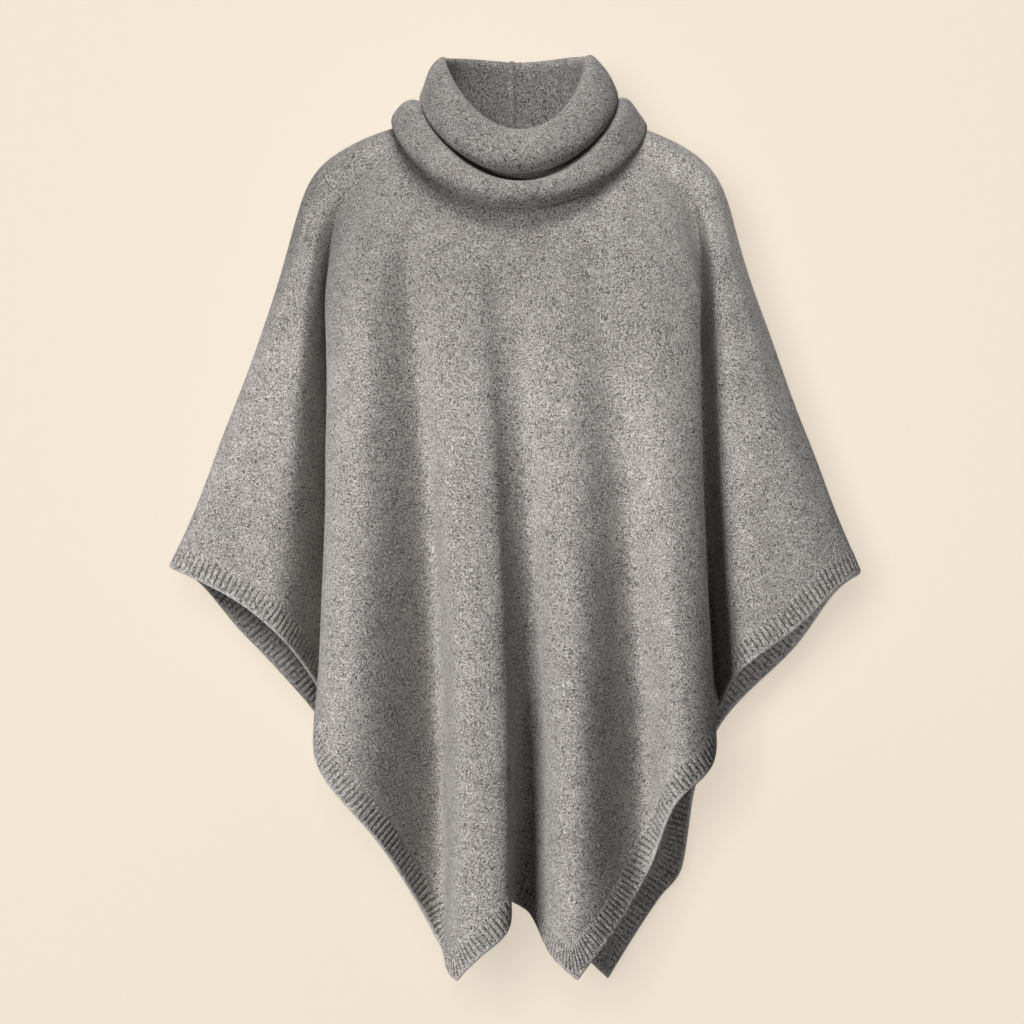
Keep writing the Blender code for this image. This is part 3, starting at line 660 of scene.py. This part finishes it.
class Shade:
    """A socket of a node tree. Arithmetic on it adds Math nodes, and node() any other."""

    def __init__(self, tree, socket):
        self.tree, self.socket = tree, socket

    def node(self, kind, settings=None, sockets=None, output=0):
        """A new node: its settings first, then the values or links of its sockets."""
        made = self.tree.nodes.new("ShaderNode" + kind)
        for key, value in (settings or {}).items():
            setattr(made, key, value)
        for key, value in (sockets or {}).items():
            if isinstance(value, Shade):
                self.tree.links.new(value.socket, made.inputs[key])
            else:
                made.inputs[key].default_value = value
        return Shade(self.tree, made.outputs[output])

    def math(self, operation, *others):
        return self.node("Math", dict(operation=operation), dict(enumerate([self, *others])))

    def vector(self, operation, *others, output=0):
        sockets = dict(enumerate([self, *others]))
        if operation == "SCALE":
            sockets = {0: self, "Scale": others[0]}
        return self.node("VectorMath", dict(operation=operation), sockets, output)

    def __add__(self, other):
        return self.math("ADD", other)

    def __sub__(self, other):
        return self.math("SUBTRACT", other)

    def __rsub__(self, other):
        return self.node("Math", dict(operation="SUBTRACT"), {0: other, 1: self})

    def __mul__(self, other):
        return self.math("MULTIPLY", other)

    __radd__, __rmul__ = __add__, __mul__

    def between(self, low, high):
        """0 below low, 1 above high, and smooth from one to the other."""
        sockets = {"Value": self, "From Min": low, "From Max": high}
        return self.node("MapRange", dict(interpolation_type="SMOOTHSTEP"), sockets)

    def mix(self, first, second):
        """The colour between first and second that this factor gives."""
        sockets = {0: self, 6: first, 7: second}
        return self.node("Mix", dict(data_type="RGBA"), sockets, output=2)


# Two layers of fibres, in millimetres: the size of the cells that keep one direction, a
# fibre's length and width, and where in the noise the layer starts.
LONG_FIBRES = dict(cell=5.6, long=4.2, wide=0.86, shift=(0, 0, 0))
SHORT_FIBRES = dict(cell=4.6, long=3.0, wide=0.76, shift=(37, 11, 53))
NAP = 0.0009  # how high the fibres stand, in metres


def flecks(place, cell, long, wide, shift):
    """Noise drawn out into short fibres, each small cell of it in its own direction.

    The direction comes from a Voronoi cell's colour. The distance along it is squeezed by
    wide over long before the noise is read, so that its grains lie out along it.
    """
    place = place.vector("ADD", shift)
    cells = place.node("TexVoronoi", {}, {"Vector": place, "Scale": 1 / cell}, output=1)
    way = cells.vector("SUBTRACT", (0.5, 0.5, 0.5)).vector("NORMALIZE")
    far = place.vector("DOT_PRODUCT", way, output=1)
    squeezed = place.vector("SUBTRACT", way.vector("SCALE", far * (1 - wide / long)))
    sockets = {"Vector": squeezed, "Scale": 1 / wide, "Detail": 1.0, "Roughness": 0.4}
    return place.node("TexNoise", {}, sockets)


def knit(name, dark, light, ribbed=False):
    """Felted melange wool: light and dark fibres matted in all directions over slow shading.

    Two layers of flecks add up to the mix of dark and light yarn, and raise the nap. A
    slower noise makes the cloth's cloudy patches. Where it is ribbed, the yarn runs along
    the ribs, and painted shade darkens the colour in their grooves.
    """
    material = bpy.data.materials.new(name)
    material.use_nodes = True
    tree = material.node_tree
    surface = tree.nodes["Principled BSDF"]
    surface.inputs["Sheen Weight"].default_value = 0.25
    surface.inputs["Sheen Roughness"].default_value = 0.45
    surface.inputs["Sheen Tint"].default_value = (0.9, 0.88, 0.86, 1)
    surface.inputs["Specular IOR Level"].default_value = 0.12

    # Places on the cloth, in millimetres, with the fibres' grid bent by a slow noise.
    start = Shade(tree, tree.nodes.new("ShaderNodeTexCoord").outputs["Object"])
    place = start.vector("SCALE", 1000.0)
    wander = place.node("TexNoise", {}, {"Vector": place, "Scale": 0.12, "Detail": 1.0}, 1)
    place = place.vector("ADD", wander.vector("SCALE", 6.0))
    first = flecks(place, **LONG_FIBRES)
    second = flecks(place, **SHORT_FIBRES)
    fine = place.node("TexNoise", {}, {"Vector": place, "Scale": 1.3, "Detail": 2.0})
    clouds = place.node("TexNoise", {}, {"Vector": place, "Scale": 0.035, "Detail": 3.0})
    mixed = (first + second) * 0.5
    # From the darkest yarn at 0 to the lightest at 1.
    tone = (mixed - 0.5) * 4.3 + (fine - 0.5) * 0.9 + (clouds - 0.5) * 0.35 + 0.5
    if ribbed:
        painted_groove_shade, across, height = (
            place.node("Attribute", dict(attribute_name=key), output=2)
            for key in ("painted_groove_shade", "across", "height")
        )
        yarn = place.node("CombineXYZ", {}, {"X": across * 0.8, "Y": height * 0.22})
        yarn = place.node("TexNoise", {}, {"Vector": yarn, "Scale": 1.0, "Detail": 2.0})
        cut = height.between(3.0, 0.4)  # the bound-off edge is paler
        # Painted shade: the colour is darker the deeper a point lies in a rib's groove
        tone = tone + (yarn - 0.5) * 0.9 + 0.06 - painted_groove_shade * 0.42 + cut * 0.2
    colour = tone.between(0.02, 0.98).mix((*dark, 1), (*light, 1))
    rough = 0.98 - mixed.between(0.4, 0.7) * 0.12
    tree.links.new(colour.socket, surface.inputs["Base Color"])
    tree.links.new(rough.socket, surface.inputs["Roughness"])
    high = first + second * 0.8 + fine * 0.6
    sockets = {"Height": high, "Strength": 0.8, "Distance": NAP}
    bump = place.node("Bump", {}, sockets)
    tree.links.new(bump.socket, surface.inputs["Normal"])
    return material


PAPER_GLOW = 0.6


def paper(name, colour, one_sided):
    """Plain matt paper with a glow of its own. A one-sided sheet can't be seen from behind."""
    material = bpy.data.materials.new(name)
    material.use_nodes = True
    tree = material.node_tree
    surface = tree.nodes["Principled BSDF"]
    surface.inputs["Base Color"].default_value = (*colour, 1)
    surface.inputs["Roughness"].default_value = 1.0
    surface.inputs["Specular IOR Level"].default_value = 0.0
    surface.inputs["Emission Color"].default_value = (*colour, 1)
    surface.inputs["Emission Strength"].default_value = PAPER_GLOW
    if one_sided:
        geometry = Shade(tree, tree.nodes.new("ShaderNodeNewGeometry").outputs["Backfacing"])
        clear = geometry.node("BsdfTransparent")
        lit = Shade(tree, surface.outputs["BSDF"])
        both = geometry.node("MixShader", {}, {0: geometry, 1: lit, 2: clear})
        tree.links.new(both.socket, tree.nodes["Material Output"].inputs["Surface"])
    return material


def stage_plane(name, corners, material):
    """A flat sheet through four corners in metres, facing the side they turn anticlockwise on."""
    mesh = bpy.data.meshes.new(name)
    mesh.from_pydata(corners, [], [(0, 1, 2, 3)])
    mesh.materials.append(material)
    plane = bpy.data.objects.new(name, mesh)
    bpy.context.collection.objects.link(plane)
    return plane


def group_of(name, things):
    """A collection of things that isn't in the scene, for linking lights to them."""
    group = bpy.data.collections.new(name)
    for thing in things:
        group.objects.link(thing)
    return group


def aimed(lit, place, aim, lights, shadows):
    """Puts a light at place, points it at aim, and links it to what it lights and what shades.

    It lights nothing but the things in lights, and only those in shadows stand in its way.
    """
    way = np.subtract(aim, place)
    lit.location = place
    flat = np.hypot(way[0], way[1])
    lit.rotation_euler = (np.arctan2(flat, -way[2]), 0, np.arctan2(-way[0], way[1]))
    bpy.context.collection.objects.link(lit)
    lit.light_linking.receiver_collection = group_of(lit.name + "_lights", lights)
    lit.light_linking.blocker_collection = group_of(lit.name + "_shadows", shadows)


def spot(name, place, aim, degrees, power, colour, lights, shadows):
    """A snooted lamp: its beam is this many degrees wide and fades all the way to its edge."""
    light = bpy.data.lights.new(name, "SPOT")
    light.spot_size, light.spot_blend = np.radians(degrees), 1.0
    light.energy, light.color, light.shadow_soft_size = power, colour, 0.15
    aimed(bpy.data.objects.new(name, light), place, aim, lights, shadows)


def lamp(name, place, aim, size, power, colour, lights, shadows):
    """A square soft light of this size, in metres, and power, in watts."""
    light = bpy.data.lights.new(name, "AREA")
    light.shape, light.size = "SQUARE", size
    light.energy, light.color = power, colour
    lit = bpy.data.objects.new(name, light)
    aimed(lit, place, aim, lights, shadows)


def black_flag(name, middle, way, low, high):
    """An upright card, seen by no ray but shadows, that keeps one lamp off part of the piece."""
    ends = [np.array([*middle, 0]) + np.array([*way, 0]) * reach for reach in (-0.7, 0.7)]
    corners = [end + (0, 0, z) for z, order in ((low, 1), (high, -1)) for end in ends[::order]]
    flag = stage_plane(name, corners, paper(name + "_card", (0.02, 0.02, 0.02), False))
    for kind in ("camera", "diffuse", "glossy", "transmission"):
        setattr(flag, "visible_" + kind, False)
    return flag


def studio(fronts, backs, collar):
    """Cream paper behind and below, a large lamp from the left front and softer ones round it.

    The key lights the front and the collar, and the upper flag keeps it off the yoke. The
    back and the inside of the hem have two lamps of their own, the yoke and the collar one
    each from above, and the wing and the chest on the right a narrow spot each.
    """
    cream = (0.88, 0.775, 0.65)
    back, low, wide = 0.17, -1.45, 3.0
    corners = [(-wide, back, low), (wide, back, low), (wide, back, 2.2), (-wide, back, 2.2)]
    wall = stage_plane("backdrop", corners, paper("backdrop_paper", cream, True))
    corners = [(-5, -5, low), (5, -5, low), (5, 5, low), (-5, 5, low)]
    floor = stage_plane("floor", corners, paper("floor_paper", cream, False))
    for kind in ("diffuse", "glossy", "transmission", "shadow"):
        setattr(wall, "visible_" + kind, False)
        setattr(floor, "visible_" + kind, False)
    upper_flag = black_flag("upper_flag", (-0.364, -0.477), (0.795, -0.607), -0.08, 0.4)
    lower_flag = black_flag("lower_flag", (0, -0.36), (1, 0), -1.0, 0.12)
    middle, white = (0, 0, -0.4), (1.0, 0.99, 0.98)
    pieces = [*fronts, *backs, *collar]
    faces = [*fronts, *collar]
    shades = [*pieces, upper_flag]
    lamp("key", (-2.75, -3.6, 0.0), middle, 2.2, 245, white, faces, shades)
    lamp("inner_key", (-1.9, -3.6, 1.9), middle, 1.6, 150, white, backs, pieces)
    lamp("inner_fill", (0.9, -3.5, -1.7), middle, 1.6, 25, white, backs, pieces)
    neck = (0, -0.1, -0.05)
    cloths = [*fronts, *backs]
    shades = [*pieces, lower_flag]
    lamp("yoke_top", (0.2, -1.3, 0.8), neck, 0.9, 27, white, cloths, shades)
    lamp("collar_top", (-0.3, -0.7, 1.25), neck, 0.6, 19, white, collar, pieces)
    lamp("behind", (-0.5, 4.0, 1.5), middle, 2.0, 130, white, pieces, pieces)
    outer_wing, chest = (0.31, -0.03, -0.3), (0.12, -0.1, -0.13)
    spot("wing_spot", (1.7, -3.5, -0.05), outer_wing, 9.5, 190, white, cloths, pieces)
    spot("chest_spot", (1.3, -3.6, 0.4), chest, 7.5, 110, white, cloths, pieces)
    papers = (wall, floor)
    lamp("paper_light", (-0.7, -6.0, 0.25), middle, 1.8, 123, (1, 1, 1), papers, pieces)
    world = bpy.data.worlds.new("pale_room")
    bpy.context.scene.world = world
    world.use_nodes = True
    sky = world.node_tree.nodes["Background"]
    sky.inputs["Color"].default_value = (0.97, 0.96, 0.95, 1)
    sky.inputs["Strength"].default_value = 0.12


def camera():
    """A long lens, level, straight in front of the middle of the poncho."""
    made = bpy.data.cameras.new("camera")
    made.lens, made.sensor_width = 140, 36
    made.clip_end = 50
    seen = bpy.data.objects.new("camera", made)
    seen.location = (-0.006, -4.0, -0.352)
    seen.rotation_euler = (np.pi / 2, 0, 0)
    bpy.context.collection.objects.link(seen)
    bpy.context.scene.camera = seen


def main():
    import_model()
    scene = bpy.context.scene
    scene.view_settings.view_transform = "Standard"
    scene.view_settings.look = "None"

    # The darkest and the lightest yarn.
    dark, light = (0.078, 0.074, 0.07), (0.615, 0.588, 0.565)
    wool = knit("melange_wool", dark, light)
    rib_wool = knit("melange_rib_wool", dark, light, ribbed=True)
    count = len(LINES)
    ends = KNOTS[[line_index("arm_minus"), line_index("arm_plus"), count]]
    made = {
        "front_panel": panel("front_cloth", ends[0], ends[1], wool),
        "back_panel": panel("back_cloth", ends[1], ends[2], wool),
        "front_hem_rib": band("front_ribbing", ends[0], ends[1], rib_wool, 3),
        "back_hem_rib": band("back_ribbing", ends[1], ends[2], rib_wool, 4),
        "cowl_collar": cowl("draped_cowl", wool),
    }
    for node, piece in made.items():
        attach(piece, "root")
        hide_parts(node)

    fronts = made["front_panel"], made["front_hem_rib"]
    backs = made["back_panel"], made["back_hem_rib"]
    studio(fronts, backs, [made["cowl_collar"]])
    camera()


main()
